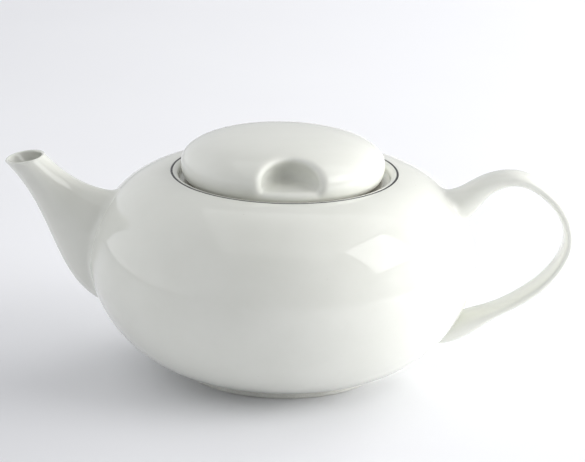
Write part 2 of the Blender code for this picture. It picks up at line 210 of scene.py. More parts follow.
def smooth_path(stations, count):
    """Even steps along a natural cubic spline through the stations (rows of any length)."""
    stations = np.array(stations)
    lengths = np.linalg.norm(np.diff(stations[:, :2], axis=0), axis=1)
    knots = np.concatenate([[0], np.cumsum(lengths)])
    system = np.eye(len(knots))
    right = np.zeros_like(stations)
    slopes = np.diff(stations, axis=0) / lengths[:, None]
    for i in range(1, len(knots) - 1):
        system[i, i - 1 : i + 2] = lengths[i - 1], 2 * (lengths[i - 1] + lengths[i]), lengths[i]
        right[i] = 6 * (slopes[i] - slopes[i - 1])
    bends = np.linalg.solve(system, right)
    at = np.linspace(0, knots[-1], count)
    span = np.clip(np.searchsorted(knots, at) - 1, 0, len(lengths) - 1)
    size = lengths[span][:, None]
    after = (at[:, None] - knots[span][:, None]) / size
    before = 1 - after
    curved = (before**3 - before) * bends[span] + (after**3 - after) * bends[span + 1]
    return before * stations[span] + after * stations[span + 1] + size**2 / 6 * curved


def bowl_outside(count=40):
    """The bowl's outer wall, from the edge of its underside up to its shoulder."""
    lower = bezier(
        (BASE_RADIUS, BASE_HEIGHT), BASE_HANDLE,
        (BELLY_RADIUS, 0.0332), (BELLY_RADIUS, BELLY_HEIGHT), count,
    )
    upper = bezier(
        (BELLY_RADIUS, BELLY_HEIGHT), (BELLY_RADIUS, 0.0628),
        (0.0758, 0.0874), (SHOULDER_RADIUS, SHOULDER_HEIGHT), count,
    )
    return joined(lower, upper)


def bowl_inside():
    """The bowl's inner wall, from under the gallery down to the middle of the floor."""
    inner_belly = BELLY_RADIUS - WALL
    floor = BASE_HEIGHT + INNER_FLOOR_THICKNESS
    edge = INNER_FLOOR_RADIUS
    below_ledge = LEDGE_HEIGHT - LEDGE_THICKNESS
    upper = bezier(
        (NECK_RADIUS, below_ledge), (0.0715, 0.0835),
        (inner_belly, 0.0615), (inner_belly, BELLY_HEIGHT), 30,
    )
    lower = bezier(
        (inner_belly, BELLY_HEIGHT), (inner_belly, 0.035), (0.067, 0.0125), (edge, floor), 30
    )
    bottom = bezier((edge, floor), (0.036, floor - 0.0004), (0.02, floor), (0, floor), 12)
    return joined(upper, lower, bottom)


# ---- Mesh helpers ----
def mesh_object(name, vertices, faces, crease=CREASE_ANGLE):
    """A smooth-shaded object from raw geometry, with its normals made to point out."""
    mesh = bpy.data.meshes.new(name)
    mesh.from_pydata([tuple(map(float, v)) for v in vertices], [], faces)
    shape = bmesh.new()
    shape.from_mesh(mesh)
    bmesh.ops.recalc_face_normals(shape, faces=shape.faces)
    shape.to_mesh(mesh)
    shape.free()
    mesh.shade_smooth()
    mesh.set_sharp_from_angle(angle=crease)
    obj = bpy.data.objects.new(name, mesh)
    bpy.context.scene.collection.objects.link(obj)
    return obj


def turned(name, outline, axis_x=POT_AXIS_X):
    """A closed (radius, height) outline turned about an upright axis. A point on it is a pole."""
    vertices, rings = [], []
    for radius, height in outline:
        if radius < 1e-7:
            rings.append([len(vertices)] * TURNED_SIDES)
            vertices.append((axis_x, 0, height))
            continue
        rings.append(list(range(len(vertices), len(vertices) + TURNED_SIDES)))
        for k in range(TURNED_SIDES):
            angle = 2 * math.pi * k / TURNED_SIDES
            vertices.append(
                (axis_x + radius * math.cos(angle), radius * math.sin(angle), height)
            )
    faces = []
    for i, ring in enumerate(rings):
        after = rings[(i + 1) % len(rings)]
        if ring[0] == ring[1] and after[0] == after[1]:
            continue
        for near in range(TURNED_SIDES):
            far = (near + 1) % TURNED_SIDES
            corners = [ring[near], ring[far], after[far], after[near]]
            faces.append(tuple(dict.fromkeys(corners)))
    return mesh_object(name, vertices, faces)


def lofted(name, rings, closed_loop=False):
    """A skin over rings with equal numbers of points, capped by fans unless it closes on itself."""
    size = len(rings[0])
    vertices = list(np.concatenate(rings))
    faces = []
    for i in range(len(rings) if closed_loop else len(rings) - 1):
        here, there = i * size, (i + 1) % len(rings) * size
        for k in range(size):
            after = (k + 1) % size
            faces.append((here + k, here + after, there + after, there + k))
    if not closed_loop:
        for first in (0, (len(rings) - 1) * size):
            middle = len(vertices)
            vertices.append(np.mean(vertices[first : first + size], axis=0))
            faces += [(first + k, first + (k + 1) % size, middle) for k in range(size)]
    return mesh_object(name, vertices, faces)


def subtract(obj, cutters):
    """Cuts the cutters out of the object, for good, and removes them."""
    for cutter in cutters:
        modifier = obj.modifiers.new("cut", "BOOLEAN")
        modifier.operation = "DIFFERENCE"
        modifier.solver = "EXACT"
        modifier.object = cutter
    depsgraph = bpy.context.evaluated_depsgraph_get()
    made = bpy.data.meshes.new_from_object(obj.evaluated_get(depsgraph))
    obj.modifiers.clear()
    obj.data = made
    made.shade_smooth()
    made.set_sharp_from_angle(angle=CREASE_ANGLE)
    for cutter in cutters:
        bpy.data.objects.remove(cutter, do_unlink=True)


# ---- The bowl's surface, which the spout and the handle run into ----
WALL_LINE = bowl_outside(240)


def on_wall(points, depth=0.0):
    """(nearest points on the bowl's outer wall, sunk by depth; normals there; signed distances)."""
    points = np.atleast_2d(points)
    flat = points[:, :2] - (POT_AXIS_X, 0)
    radius = np.linalg.norm(flat, axis=1)
    here = np.stack([radius, points[:, 2]], 1)
    start, along = WALL_LINE[:-1], np.diff(WALL_LINE, axis=0)
    share = ((here[:, None] - start) * along).sum(2) / (along**2).sum(1)
    nearest = start + np.clip(share, 0, 1)[..., None] * along
    best = ((here[:, None] - nearest) ** 2).sum(2).argmin(1)
    foot = nearest[np.arange(len(points)), best]
    normal = np.stack([along[best][:, 1], -along[best][:, 0]], 1)
    normal /= np.linalg.norm(normal, axis=1)[:, None]
    distance = ((here - foot) * normal).sum(1)
    foot = foot - depth * normal
    unit = flat / radius[:, None]
    back = np.concatenate([unit * foot[:, :1] + (POT_AXIS_X, 0), foot[:, 1:]], 1)
    normal = np.concatenate([unit * normal[:, :1], normal[:, 1:]], 1)
    return back, normal, distance


def landed(rings, fillet, count=12):
    """The rings that run into the bowl, ended by a fillet on to its wall, and then in the wall.

    The last of the given rings lies inside the bowl. Each line along the skin stops at the
    fillet's width before it meets the wall, and curves on to the wall over the same width.
    """
    rings = np.array(rings)
    lengths = np.linalg.norm(np.diff(rings, axis=0), axis=2)
    walked = np.concatenate([np.zeros((1, rings.shape[1])), np.cumsum(lengths, axis=0)])
    distance = np.array([on_wall(ring)[2] for ring in rings])
    meets = []
    for k in range(rings.shape[1]):
        inside = np.nonzero(distance[:, k] < 0)[0][0]
        share = distance[inside - 1, k] / (distance[inside - 1, k] - distance[inside, k])
        meets.append(walked[inside - 1, k] + share * lengths[inside - 1, k])
    meets = np.array(meets)

    def at(lengths_along):
        return np.array([
            [np.interp(lengths_along[k], walked[:, k], rings[:, k, i]) for i in range(3)]
            for k in range(rings.shape[1])
        ])

    corner = on_wall(at(meets))[0]
    normal = on_wall(corner)[1]
    outwards = corner - corner.mean(0)
    outwards -= (outwards * normal).sum(1)[:, None] * normal
    outwards /= np.linalg.norm(outwards, axis=1)[:, None]
    start = at(meets - fillet)
    end = on_wall(corner + fillet * outwards, SUNK)[0]
    straight = [at((meets - fillet) * share) for share in np.linspace(0, 1, len(rings))]
    curved = [
        (1 - t) ** 2 * start + 2 * t * (1 - t) * corner + t**2 * end
        for t in np.linspace(0, 1, count)[1:]
    ]
    return straight + curved + [on_wall(end, ROOT_DEPTH)[0]]


# ---- The pot ----
def strainer_punches():
    """Round punches for the strainer: rows of one and two holes in turn."""
    angles = 2 * math.pi * np.arange(HOLE_SIDES) / HOLE_SIDES
    punches = []
    for row, height in enumerate(HOLE_ROWS):
        for y in ([0.0] if row % 2 else [-HOLE_SPREAD, HOLE_SPREAD]):
            ring = [
                (y + HOLE_RADIUS * math.cos(a), height + HOLE_RADIUS * math.sin(a))
                for a in angles
            ]
            rings = [[(POT_AXIS_X + x, *point) for point in ring] for x in PUNCH_ENDS]
            punches.append(lofted("punch", rings))
    return punches


def notch_cutter():
    """The block that opens the ledge for the lid's lug."""
    shape = bmesh.new()
    bmesh.ops.create_cube(shape, size=1)
    half_width = LUG_WIDTH / 2 + NOTCH_SIDE_PLAY
    low = (NOTCH_INNER, -half_width, LEDGE_HEIGHT - NOTCH_DEPTH)
    high = (LUG_REACH + NOTCH_END_PLAY, half_width, LEDGE_HEIGHT + NOTCH_RISE)
    for vertex in shape.verts:
        vertex.co = [(c + 0.5) * (h - l) + l for c, l, h in zip(vertex.co, low, high)]
    upright = [e for e in shape.edges if abs(e.verts[0].co.z - e.verts[1].co.z) > NOTCH_DEPTH / 2]
    bmesh.ops.bevel(shape, geom=upright, offset=NOTCH_ROUNDING, segments=5, affect="EDGES",
                    profile=0.5)
    place = Matrix.Translation((POT_AXIS_X, 0, 0)) @ Matrix.Rotation(LID_TURN, 4, "Z")
    vertices = [tuple(place @ v.co) for v in shape.verts]
    faces = [tuple(v.index for v in face.verts) for face in shape.faces]
    shape.free()
    return mesh_object("notch", vertices, faces)


def make_bowl():
    """The glazed bowl: wall, rolled rim, recess with its gallery ledge, strainer and lug notch."""
    below_ledge = LEDGE_HEIGHT - LEDGE_THICKNESS
    roll_centre = (MOUTH_RADIUS + RIM_ROLL, SHOULDER_HEIGHT - RIM_ROLL)
    recess = rounded_outline([
        (MOUTH_RADIUS, SHOULDER_HEIGHT - RIM_ROLL, 0), (MOUTH_RADIUS, LEDGE_HEIGHT, 0.0014),
        (LEDGE_RADIUS, LEDGE_HEIGHT, 0.0009), (LEDGE_RADIUS, below_ledge, 0.0012),
        (NECK_RADIUS, below_ledge, 0),
    ])
    underside = rounded_outline([
        (0, BASE_HEIGHT, 0), (BASE_RADIUS, BASE_HEIGHT, 0.0012), (*BASE_HANDLE, 0),
    ])[:-1]
    outside = bowl_outside()
    past_corner = outside[:, 0] > underside[-1, 0] + 0.0004
    outline = joined(
        underside, outside[past_corner | (outside[:, 1] > BELLY_HEIGHT)],
        arc(roll_centre, RIM_ROLL, 86, 180, 14), recess, bowl_inside(),
    )
    bowl = turned("glazed_bowl", outline)
    subtract(bowl, strainer_punches() + [notch_cutter()])
    return bowl


def make_foot():
    """The unglazed ring under the bowl, with soft edges where it was wiped clean of glaze."""
    top = BASE_HEIGHT + FOOT_REACH
    outline = rounded_outline([
        (FOOT_INNER, 0, FOOT_ROUNDING_IN), (FOOT_OUTER, 0, FOOT_ROUNDING_OUT),
        (FOOT_OUTER + FOOT_FLARE_OUT, top, 0), (FOOT_INNER - FOOT_FLARE_IN, top, 0),
    ])
    return turned("bare_foot_ring", outline)


def make_line():
    """The thin grey line round the mouth, a low bead lying on the glaze."""
    angles = 2 * math.pi * np.arange(LINE_SIDES) / LINE_SIDES
    outline = np.stack([
        LINE_RADIUS + LINE_WIDTH / 2 * np.cos(angles),
        SHOULDER_HEIGHT - LINE_SUNK + LINE_RISE * np.sin(angles),
    ], 1)
    return turned("mouth_line", outline)


def make_spout():
    """The hollow spout: outer skin, rounded lip, inner passage and a fillet on to the bowl."""
    t = np.linspace(0, 1, SPOUT_STEPS)
    keel = bezier(
        (-0.1219, 0.0915), (-0.0983, 0.0677), (-0.1022, 0.0352), (-0.0740, 0.0260), SPOUT_STEPS
    )
    crest = bezier(
        (-0.1046, 0.0943), (-0.0925, 0.0815), (-0.0779, 0.0766), (-0.0660, 0.0790), SPOUT_STEPS
    )
    widths = smooth_path(
        [(0, 0.0103), (0.25, 0.0099), (0.5, 0.0109), (0.8, 0.0130), (1, 0.0136)], SPOUT_STEPS
    )
    half_width = np.interp(t, widths[:, 0], widths[:, 1])
    wall = np.linspace(SPOUT_WALL_MOUTH, SPOUT_WALL_ROOT, SPOUT_STEPS)
    angles = 2 * math.pi * np.arange(SPOUT_SIDES) / SPOUT_SIDES

    def section(i, inset, lift=0.0):
        """The oval across the spout at step i, drawn in by the inset and moved on by the lift."""
        middle = (keel[i] + crest[i]) / 2
        up = (crest[i] - keel[i]) / 2
        half_height = np.linalg.norm(up)
        up = up / half_height
        out = np.array([-up[1], up[0]])
        rise = (half_height - inset) * np.sin(angles)
        across = (half_width[i] - inset) * np.cos(angles)
        side = middle + lift * out + rise[:, None] * up
        return np.stack([POT_AXIS_X + side[:, 0], across, side[:, 1]], 1)

    outer = landed([section(i, 0) for i in range(SPOUT_STEPS)], SPOUT_FILLET)
    passage = [section(i, wall[i]) for i in range(SPOUT_STEPS)]
    inner = landed(passage, PASSAGE_FILLET, 3)[:-2]
    inner.append(on_wall(inner[-1], ROOT_DEPTH)[0])
    lip_radius = SPOUT_WALL_MOUTH / 2
    lip = [
        section(0, lip_radius - lip_radius * math.cos(a), lip_radius * math.sin(a))
        for a in np.linspace(0, math.pi, 9)[1:-1]
    ]
    return lofted("glazed_spout", outer[::-1] + lip + inner, closed_loop=True)


def handle_stations():
    """(x, height, thickness, width) down the middle of the strap, from its upper root."""
    wide = HANDLE_WIDTH
    return [
        (0.0680, 0.0710, 0.0200, wide + 0.0030),
        (0.0800, 0.0780, 0.0125, wide + 0.0016),
        (0.0868, 0.0838, 0.0087, wide + 0.0006),
        (0.0952, 0.0877, 0.0066, wide),
        (0.1032, 0.0881, 0.0055, wide),
        (0.1131, 0.0834, 0.0050, wide),
        (0.1217, 0.0741, 0.0047, wide),
        (0.1255, 0.0605, 0.0046, wide),
        (0.1206, 0.0476, 0.0046, wide),
        (0.1068, 0.0346, 0.0048, wide),
        (0.0930, 0.0270, 0.0055, wide + 0.0004),
        (0.0830, 0.0220, 0.0092, wide + 0.0014),
        (0.0725, 0.0172, 0.0090, wide + 0.0024),
        (0.0625, 0.0155, 0.0060, wide + 0.0034),
    ]


def make_handle():
    """The strap handle, with a fillet at each root."""
    path = smooth_path(handle_stations(), HANDLE_STEPS)
    along = np.gradient(path[:, :2], axis=0)
    along /= np.linalg.norm(along, axis=1)[:, None]
    angles = 2 * math.pi * np.arange(HANDLE_SIDES) / HANDLE_SIDES
    power = 2 / HANDLE_SQUARENESS
    across = np.sign(np.cos(angles)) * np.abs(np.cos(angles)) ** power
    out = np.sign(np.sin(angles)) * np.abs(np.sin(angles)) ** power
    rings = []
    for (x, z, thickness, width), (dx, dz) in zip(path, along):
        normal = np.array([-dz, dx])
        side = np.array([x, z]) + out[:, None] * thickness / 2 * normal
        rings.append(np.stack([POT_AXIS_X + side[:, 0], across * width / 2, side[:, 1]], 1))
    middle = HANDLE_STEPS // 2
    upper = landed(rings[middle::-1], HANDLE_FILLET)
    lower = landed(rings[middle:], HANDLE_FILLET)
    return lofted("glazed_handle", upper[::-1] + lower[1:])


# ---- The lid, meshed from a distance field ----
def outline_distance(outline, pitch=0.00015, margin=0.004):
    """A function giving the signed distance from a closed (radius, height) outline, inside < 0."""
    low = np.array([0.0, outline[:, 1].min() - margin])
    high = outline.max(0) + margin
    radii = np.arange(low[0], high[0], pitch)
    heights = np.arange(low[1], high[1], pitch)
    points = np.stack(np.meshgrid(radii, heights, indexing="ij"), -1).reshape(-1, 2)
    start, end = outline, np.roll(outline, -1, axis=0)
    nearest = np.full(len(points), np.inf)
    inside = np.zeros(len(points), bool)
    for a, b in zip(start, end):
        along = b - a
        share = np.clip(((points - a) @ along) / (along @ along), 0, 1)
        nearest = np.minimum(nearest, ((points - a - share[:, None] * along) ** 2).sum(1))
        if a[1] != b[1]:
            crosses = (points[:, 1] >= a[1]) != (points[:, 1] >= b[1])
            at = a[0] + (points[:, 1] - a[1]) / (b[1] - a[1]) * along[0]
            inside ^= crosses & (points[:, 0] < at)
    signed = (np.sqrt(nearest) * np.where(inside, -1, 1)).reshape(len(radii), len(heights))

    def distance(radius, height):
        column = np.clip((radius - low[0]) / pitch, 0, len(radii) - 1.001)
        row = np.clip((height - low[1]) / pitch, 0, len(heights) - 1.001)
        i, j = column.astype(int), row.astype(int)
        u, v = column - i, row - j
        return (
            signed[i, j] * (1 - u) * (1 - v) + signed[i + 1, j] * u * (1 - v)
            + signed[i, j + 1] * (1 - u) * v + signed[i + 1, j + 1] * u * v
        )

    return distance


def smooth_max(a, b, softness):
    """The larger of two distances, with the edge where they are equal rounded over."""
    overlap = np.clip(softness - np.abs(a - b), 0, None) / softness
    return np.maximum(a, b) + overlap**2 * softness / 4


def scoop_distance(points, side, margin=0.0):
    """Distance from a finger scoop: an ellipsoid over a rising floor, centred on the lid's edge."""
    radii = np.array(SCOOP_RADII) + margin
    offset = points - (0, side * LID_RADIUS, SCOOP_FLOOR)
    floor = -side * offset[:, 1] * SCOOP_SLOPE - offset[:, 2] - max(margin, 0.0)
    offset = offset - (0, 0, SCOOP_CENTRE)
    near = np.linalg.norm(offset / radii, axis=1)
    slope = np.maximum(np.linalg.norm(offset / radii**2, axis=1), 1e-6)
    return smooth_max(near * (near - 1) / slope, floor, SCOOP_FILLET)


def lid_section():
    """The lid's outer outline, closed across its underside."""
    under = bezier(
        (LID_SEAT_RADIUS, LEDGE_HEIGHT + LID_REST), (0.0428, LEDGE_HEIGHT + 0.0005),
        (LID_RADIUS, 0.0893), (LID_RADIUS, LID_EDGE_HEIGHT), 60,
    )
    over = bezier(
        (LID_RADIUS, LID_EDGE_HEIGHT), (LID_RADIUS, 0.096), (0.044, LID_TOP), (0, LID_TOP), 240
    )
    return joined(under, over, [(-PAST_AXIS, LID_TOP), (-PAST_AXIS, LEDGE_HEIGHT + LID_REST)])


def hollow_section():
    """The outline of the hollow under the lid."""
    under = LEDGE_HEIGHT + LID_REST
    crown = LID_TOP - LID_THICKNESS
    dome = bezier((HOLLOW_RADIUS, under), (HOLLOW_RADIUS, 0.096), (0.030, crown), (0, crown), 120)
    open_end = [(-PAST_AXIS, under - HOLLOW_DROP), (HOLLOW_RADIUS, under - HOLLOW_DROP)]
    return joined(open_end, dome, [(-PAST_AXIS, crown)])


def surface_net(field, low, high, pitch):
    """(vertices, quads) on the zero level of a field: one vertex in each cell it passes through."""
    counts = np.ceil((np.array(high) - low) / pitch).astype(int) + 1
    axes = [low[i] + pitch * np.arange(counts[i]) for i in range(3)]
    grid = np.stack(np.meshgrid(*axes, indexing="ij"), -1)
    values = field(grid.reshape(-1, 3)).reshape(counts)
    cells = counts - 1
    sums, hits = np.zeros((*cells, 3)), np.zeros(cells)
    edges = []
    for axis in range(3):
        first = np.moveaxis(values, axis, 0)[:-1]
        second = np.moveaxis(values, axis, 0)[1:]
        first, second = np.moveaxis(first, 0, axis), np.moveaxis(second, 0, axis)
        at = np.argwhere((first < 0) != (second < 0))
        a, b = first[tuple(at.T)], second[tuple(at.T)]
        cross = grid[tuple(at.T)].copy()
        cross[:, axis] += pitch * a / (a - b)
        others = [i for i in range(3) if i != axis]
        around = []
        for step in ((0, 0), (-1, 0), (-1, -1), (0, -1)):
            cell = at.copy()
            cell[:, others[0]] += step[0]
            cell[:, others[1]] += step[1]
            around.append(cell)
            np.add.at(sums, tuple(cell.T), cross)
            np.add.at(hits, tuple(cell.T), 1)
        edges.append((around, (a < 0) ^ (axis == 1)))
    index = np.full(cells, -1)
    used = hits > 0
    index[used] = np.arange(used.sum())
    vertices = sums[used] / hits[used][:, None]
    quads = []
    for around, outwards in edges:
        corners = np.stack([index[tuple(cell.T)] for cell in around], 1)
        quads.append(np.where(outwards[:, None], corners, corners[:, ::-1]))
    return vertices, np.concatenate(quads)


def settled(vertices, field, step=0.00002, rounds=6):
    """The vertices moved on to the field's zero level, along its slope."""
    for _ in range(rounds):
        slope = np.stack([
            (field(vertices + step * unit) - field(vertices - step * unit)) / (2 * step)
            for unit in np.eye(3)
        ], 1)
        size = np.maximum((slope**2).sum(1), 0.05)
        vertices = vertices - (field(vertices) / size)[:, None] * slope
    return vertices


def lid_place():
    """From the lid's own axis, with its scoops along Y, to where it lies on the pot."""
    shift = Matrix.Translation((POT_AXIS_X + LID_SHIFT, 0, 0))
    return shift @ Matrix.Rotation(LID_TURN, 4, "Z")


def make_lid():
    """The pillow-shaped lid, hollow below, with a soft-edged finger scoop in front and behind."""
    skin = outline_distance(lid_section())
    hollow = outline_distance(hollow_section())

    def field(points):
        radius = np.linalg.norm(points[:, :2], axis=1)
        solid = skin(radius, points[:, 2])
        inside = hollow(radius, points[:, 2])
        for side in (-1, 1):
            clear_of_scoop = -scoop_distance(points, side, SCOOP_WALL)
            inside = smooth_max(inside, clear_of_scoop, INSIDE_SOFTNESS)
            solid = smooth_max(solid, -scoop_distance(points, side, -SCOOP_EASE), RIM_SOFTNESS)
        return smooth_max(solid, -inside, SEAT_SOFTNESS)

    margin = 3 * LID_PITCH
    reach = LID_RADIUS + margin
    low = np.array([-reach, -reach, LEDGE_HEIGHT - margin])
    vertices, quads = surface_net(field, low, (reach, reach, LID_TOP + margin), LID_PITCH)
    vertices = settled(vertices, field)
    lid = mesh_object("glazed_lid", vertices, quads.tolist(), math.radians(60))
    lid.data.transform(lid_place())
    return lid


def make_flange():
    """The collar below the lid, flared where it grows out of the lid."""
    top = LEDGE_HEIGHT + FLANGE_REACH
    outline = rounded_outline([
        (FLANGE_INNER, FLANGE_BOTTOM, FLANGE_ROUNDING),
        (FLANGE_OUTER, FLANGE_BOTTOM, FLANGE_ROUNDING),
        (FLANGE_OUTER, LEDGE_HEIGHT - 0.0004, 0.0006),
        (FLANGE_OUTER + FLANGE_FLARE, top, 0), (HOLLOW_RADIUS, top, 0),
    ])
    return turned("lid_collar", outline, POT_AXIS_X + LID_SHIFT)


def make_lug():
    """The small rounded nib on the collar that catches under the ledge."""
    shape = bmesh.new()
    bmesh.ops.create_cube(shape, size=1)
    inner = FLANGE_OUTER - LUG_OVERLAP
    for vertex in shape.verts:
        x, y, z = vertex.co
        narrow = LUG_TAPER if x > 0 else -LUG_SPREAD
        vertex.co = (
            inner + (x + 0.5) * (LUG_REACH - inner),
            y * (LUG_WIDTH - narrow),
            LUG_BOTTOM + (z + 0.5) * (LUG_TOP - LUG_BOTTOM),
        )
    bmesh.ops.bevel(shape, geom=shape.edges[:], offset=LUG_ROUNDING, segments=6, affect="EDGES",
                    profile=0.5)
    vertices = [tuple(lid_place() @ v.co) for v in shape.verts]
    faces = [tuple(v.index for v in face.verts) for face in shape.faces]
    shape.free()
    return mesh_object("lid_nib", vertices, faces)


# ---- Materials ----
class Nodes:
    """A short way to build a material's node tree."""

    def __init__(self, name):
        self.material = bpy.data.materials.new(name)
        self.material.use_nodes = True
        self.tree = self.material.node_tree
        self.shader = self.tree.nodes["Principled BSDF"]
        self.place = self.add("ShaderNodeTexCoord").outputs["Object"]

    def add(self, kind, values=(), **settings):
        """A node of this kind, its inputs set to the values or linked to the sockets given."""
        node = self.tree.nodes.new(kind)
        for key, value in settings.items():
            setattr(node, key, value)
        for key, value in dict(values).items():
            if isinstance(value, bpy.types.NodeSocket):
                self.tree.links.new(value, node.inputs[key])
            else:
                node.inputs[key].default_value = value
        return node

    def noise(self, scale, detail=3.0, roughness=0.5, stretch=None):
        """Noise from 0 to 1, with its scale multiplied along each axis by the stretch."""
        place = self.place
        if stretch:
            place = self.add("ShaderNodeMapping", {"Vector": place, "Scale": stretch}).outputs[0]
        values = {"Vector": place, "Scale": scale, "Detail": detail, "Roughness": roughness}
        return self.add("ShaderNodeTexNoise", values).outputs["Fac"]

    def ramp(self, value, *stops):
        """A colour ramp through (position, colour) stops."""
        node = self.add("ShaderNodeValToRGB", {"Fac": value})
        elements = node.color_ramp.elements
        while len(elements) < len(stops):
            elements.new(0.5)
        for element, (position, colour) in zip(elements, stops):
            element.position = position
            element.color = (*colour, 1)
        return node.outputs["Color"]

    def ranged(self, value, low, high, out_low, out_high):
        """The value's range from low to high laid over the range from out_low to out_high."""
        values = {"Value": value, "From Min": low, "From Max": high,
                  "To Min": out_low, "To Max": out_high}
        return self.add("ShaderNodeMapRange", values).outputs["Result"]

    def product(self, a, b):
        return self.add("ShaderNodeMath", {0: a, 1: b}, operation="MULTIPLY").outputs[0]

    def mixed(self, share, a, b, blend="MIX"):
        """Colour a with a share of colour b."""
        node = self.add("ShaderNodeMix", {"Factor": share}, data_type="RGBA", blend_type=blend)
        # A Mix node has a socket of each name for every data type; the colour ones are these.
        for name, colour in (("A", a), ("B", b)):
            socket = [s for s in node.inputs if s.name == name and s.type == "RGBA"][0]
            self.tree.links.new(colour, socket)
        return [s for s in node.outputs if s.type == "RGBA"][0]

    def bump(self, height, distance, strength=1.0, under=None):
        """Relief by the height, over another bump where one is given."""
        values = {"Height": height, "Distance": distance, "Strength": strength}
        if under is not None:
            values["Normal"] = under
        return self.add("ShaderNodeBump", values).outputs["Normal"]

    def finish(self, colour, roughness, normal, **constants):
        """The material, with these on its shader; an underscore stands for a space in a name."""
        self.tree.links.new(colour, self.shader.inputs["Base Color"])
        self.tree.links.new(roughness, self.shader.inputs["Roughness"])
        self.tree.links.new(normal, self.shader.inputs["Normal"])
        for key, value in constants.items():
            self.shader.inputs[key.replace("_", " ")].default_value = value
        return self.material


def shade_and_bare_share(nodes, radius, radius_ease, low, high, height_ease):
    """The share of painted shade and of unglazed roughness: 1 inside the radius round the pot's
    axis and between the two heights, and 0 elsewhere.
    """
    height = nodes.add("ShaderNodeSeparateXYZ", {"Vector": nodes.place}).outputs["Z"]
    from_axis = nodes.add("ShaderNodeVectorMath", {
        0: nodes.place, 1: (POT_AXIS_X, 0, 0)}, operation="SUBTRACT").outputs[0]
    flat = nodes.add("ShaderNodeVectorMath", {
        0: from_axis, 1: (1, 1, 0)}, operation="MULTIPLY").outputs[0]
    reach = nodes.add("ShaderNodeVectorMath", {0: flat}, operation="LENGTH").outputs["Value"]
    within = nodes.ranged(reach, radius - radius_ease, radius, 1.0, 0.0)
    above = nodes.ranged(height, low - height_ease, low, 0.0, 1.0)
    below = nodes.ranged(height, high - height_ease, high, 1.0, 0.0)
    return nodes.product(nodes.product(within, above), below)


def glaze_material(name, seat=None):
    """White porcelain under clear glaze: a faint cloudiness, sparse pinholes and a gentle ripple.

    Round the seat, where lid and pot rest on each other, the glaze turns rough and dry as on an
    unglazed seat, and its colour is darkened as painted shade for the shadowed gap between lid and
    pot.
    """
    nodes = Nodes(name)
    cloud = nodes.noise(38, 4, 0.55)
    tone = nodes.ramp(cloud, (0.30, (0.780, 0.788, 0.730)), (0.70, (0.815, 0.822, 0.768)))
    cells = nodes.add("ShaderNodeTexVoronoi", {"Vector": nodes.place, "Scale": 150.0,
                                               "Randomness": 1.0})
    pinhole = nodes.ranged(cells.outputs["Distance"], 0.018, 0.034, 1.0, 0.0)
    chosen = nodes.ranged(nodes.noise(60, 0), 0.60, 0.63, 0.0, 1.0)
    speck = nodes.product(pinhole, chosen)
    shade = nodes.ramp(speck, (0.0, (1.0, 1.0, 1.0)), (1.0, (0.72, 0.70, 0.66)))
    colour = nodes.mixed(1.0, tone, shade, "MULTIPLY")
    roughness = nodes.ranged(nodes.noise(55, 3), 0.3, 0.7, 0.055, 0.095)
    if seat:
        shade_and_bare = shade_and_bare_share(nodes, *seat)
        # Painted shade: a darker tone round the seat, standing in for the shade in the narrow gap
        # there
        painted_shade_tone = nodes.ramp(cloud, (0.30, (0.42, 0.40, 0.36)), (0.70, (0.52, 0.50, 0.45)))
        colour = nodes.mixed(shade_and_bare, colour, painted_shade_tone)
        roughness = nodes.ranged(shade_and_bare, 0.0, 1.0, roughness, 0.7)
    ripple = nodes.bump(nodes.noise(26, 1, 0.4), 0.0008, 0.35)
    peel = nodes.bump(nodes.noise(420, 2), 0.00002, 0.5, ripple)
    normal = nodes.bump(speck, -0.00008, 0.6, peel)
    return nodes.finish(colour, roughness, normal, IOR=1.52, Coat_Weight=0.25,
                        Coat_Roughness=0.03)


def bare_material():
    """Fired porcelain without glaze: dry, warm grey-white, faintly gritty, with turning rings."""
    nodes = Nodes("bare_fired_porcelain")
    cloud = nodes.noise(90, 5, 0.6)
    tone = nodes.ramp(cloud, (0.30, (0.70, 0.70, 0.655)), (0.72, (0.79, 0.79, 0.745)))
    grit = nodes.ramp(nodes.noise(1900, 2), (0.30, (0.88, 0.87, 0.85)), (0.55, (1.0, 1.0, 1.0)))
    colour = nodes.mixed(1.0, tone, grit, "MULTIPLY")
    roughness = nodes.ranged(nodes.noise(300, 3), 0.3, 0.7, 0.62, 0.82)
    rings = nodes.noise(1500, 1, 0.5, stretch=(0.02, 0.02, 1.0))
    turned_marks = nodes.bump(rings, 0.00006, 0.5)
    normal = nodes.bump(nodes.noise(1700, 3), 0.00003, 0.6, turned_marks)
    return nodes.finish(colour, roughness, normal, IOR=1.5)


def line_material():
    """The grey fired-on line: metallic lustre paint, a little uneven along its length."""
    nodes = Nodes("grey_lustre_line")
    uneven = nodes.noise(320, 3, 0.6)
    colour = nodes.ramp(uneven, (0.30, (0.022, 0.022, 0.024)), (0.72, (0.045, 0.045, 0.048)))
    roughness = nodes.ranged(nodes.noise(700, 2), 0.3, 0.7, 0.26, 0.40)
    normal = nodes.bump(nodes.noise(1200, 2), 0.00002, 0.5)
    return nodes.finish(colour, roughness, normal, Metallic=0.35, IOR=1.5)


def floor_material():
    """Pale, faintly cool studio paper."""
    nodes = Nodes("studio_paper")
    cloud = nodes.noise(3, 3, 0.5)
    colour = nodes.ramp(cloud, (0.35, (0.850, 0.853, 0.880)), (0.65, (0.865, 0.868, 0.892)))
    roughness = nodes.ranged(nodes.noise(9, 2), 0.3, 0.7, 0.55, 0.65)
    normal = nodes.bump(nodes.noise(900, 3), 0.00003, 0.5)
    return nodes.finish(colour, roughness, normal, IOR=1.3)


# ---- Putting it together ----
def fitted(piece, finish, slot, body, *nodes):
    """Gives a piece its material and ties it to the CAD nodes that it stands for."""
    piece.data.materials.clear()
    piece.data.materials.append(finish)
    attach(piece, body)
    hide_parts(*nodes)
